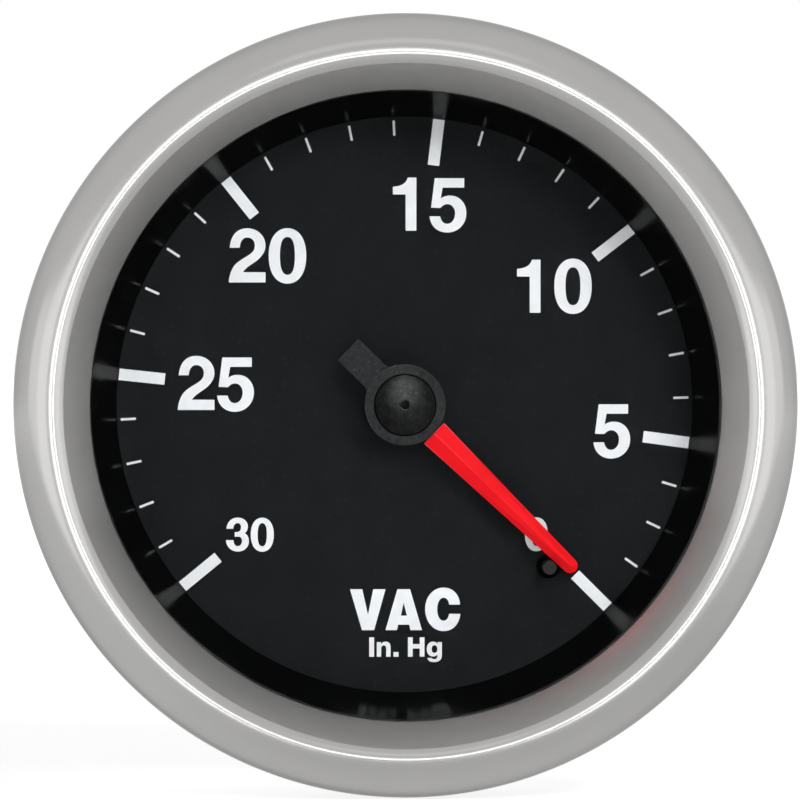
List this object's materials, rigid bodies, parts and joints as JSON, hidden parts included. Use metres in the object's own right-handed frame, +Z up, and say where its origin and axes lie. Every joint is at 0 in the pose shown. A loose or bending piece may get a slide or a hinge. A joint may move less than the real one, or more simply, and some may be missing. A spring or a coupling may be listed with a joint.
{
  "type": "vacuum gauge",
  "caption": "Round panel vacuum gauge: satin metal bezel, black dial with a red pointer, tube movement inside, threaded inlet and clamp at the back.",
  "frame": {"origin": "on the gauge's axis, in the plane of the bezel's rear face, which lies on the panel", "axes": "+Z up as the dial is read, the dial faces -Y, +Y points out of the back along the case"},
  "size_m": [0.072, 0.0632, 0.072],
  "materials": {
    "bezel_aluminium": "satin, blasted",
    "lens_glass": "clear",
    "gasket_rubber": "matt",
    "ring_black": "polished",
    "dial_black": "matt",
    "seat_white": "satin",
    "case_steel": "plated",
    "stop_pin_black": "satin",
    "pointer_red": "satin",
    "hub_black": "textured",
    "cap_black": "satin",
    "arbor_steel": "polished",
    "movement_brass": "satin",
    "spring_bronze": "satin",
    "screw_steel": "plated",
    "tube_bronze": "satin",
    "socket_brass": "machined",
    "clamp_steel": "zinc plated",
    "lamp_plastic": "moulded",
    "bulb_glass": "clear",
    "terminal_brass": "stamped"
  },
  "bodies": {
    "gauge": {"bezel": "bezel_aluminium", "lens": "lens_glass", "lens_gasket": "gasket_rubber", "inner_ring": "ring_black", "dial": "dial_black", "dial_seat": "seat_white", "case": "case_steel", "zero_stop_pin": "stop_pin_black", "hairspring": "spring_bronze", "hairspring_stud": "movement_brass", "front_plate": "movement_brass", "rear_plate": "movement_brass", "plate_pillars": "movement_brass", "plate_screws": "screw_steel", "movement_screws": "screw_steel", "bourdon_tube": "tube_bronze", "socket_block": "socket_brass", "passage_plug": "socket_brass", "stem_gasket": "gasket_rubber", "case_screws": "screw_steel", "mounting_studs": "screw_steel"},
    "pointer": {"pointer_blade": "pointer_red", "pointer_hub": "hub_black", "pointer_cap": "cap_black", "pointer_arbor": "arbor_steel", "pinion": "movement_brass", "hairspring_collet": "movement_brass"},
    "sector": {"sector_gear": "movement_brass", "sector_arbor": "arbor_steel", "link_pin_tail": "arbor_steel"},
    "tip": {"tube_tip": "socket_brass", "link_pin_tip": "arbor_steel"},
    "link": {"link": "arbor_steel"},
    "clamp": {"clamp_bracket": "clamp_steel", "lock_washers": "clamp_steel"},
    "nut_left": {"clamp_nut_left": "clamp_steel"},
    "nut_right": {"clamp_nut_right": "clamp_steel"},
    "lamp": {"lamp_holder": "lamp_plastic", "lamp_bulb": "bulb_glass", "lamp_terminals": "terminal_brass"}
  },
  "joints": [
    {"name": "pointer_spin", "type": "hinge", "parent": "gauge", "child": "pointer", "pos_m": [0, 0, 0], "axis": [0, -1, 0], "range_deg": [0, 264.3], "stiffness_Nm_per_rad": 0.0002, "springref_deg": -17.19, "deforming": ["hairspring"]},
    {"name": "sector_turn", "type": "hinge", "parent": "gauge", "child": "sector", "pos_m": [0.01105, 0.009, -0.01185], "axis": [0, -1, 0], "range_deg": [-33.1, 0]},
    {"name": "tip_curl", "type": "hinge", "parent": "gauge", "child": "tip", "pos_m": [-0.0029, 0.009, 0.0041], "axis": [0, -1, 0], "range_deg": [-5.96, 0], "deforming": ["bourdon_tube"]},
    {"name": "link_swing", "type": "hinge", "parent": "tip", "child": "link", "pos_m": [0.01836, 0.009, -0.00627], "axis": [0, -1, 0], "range_deg": [0, 7.82]},
    {"name": "clamp_slide", "type": "slide", "parent": "gauge", "child": "clamp", "axis": [0, 1, 0], "range_m": [0, 0.0127]},
    {"name": "nut_right_turn", "type": "hinge", "parent": "clamp", "child": "nut_right", "pos_m": [0.015, 0.0386, 0], "axis": [0, 1, 0], "range_deg": [0, 5760]},
    {"name": "nut_left_turn", "type": "hinge", "parent": "clamp", "child": "nut_left", "pos_m": [-0.015, 0.0386, 0], "axis": [0, 1, 0], "range_deg": [0, 5760]},
    {"name": "lamp_pull", "type": "slide", "parent": "gauge", "child": "lamp", "axis": [0, 1, 0], "range_m": [0, 0.022]}
  ],
  "couplings": [
    {"joint": "sector_turn", "follows": "pointer_spin", "ratio": -0.125},
    {"joint": "tip_curl", "follows": "pointer_spin", "ratio": -0.022491},
    {"joint": "link_swing", "follows": "pointer_spin", "ratio": 0.029515},
    {"joint": "nut_right_turn", "follows": "clamp_slide", "rad_per_m": 7915.8},
    {"joint": "nut_left_turn", "follows": "clamp_slide", "rad_per_m": 7915.8}
  ]
}
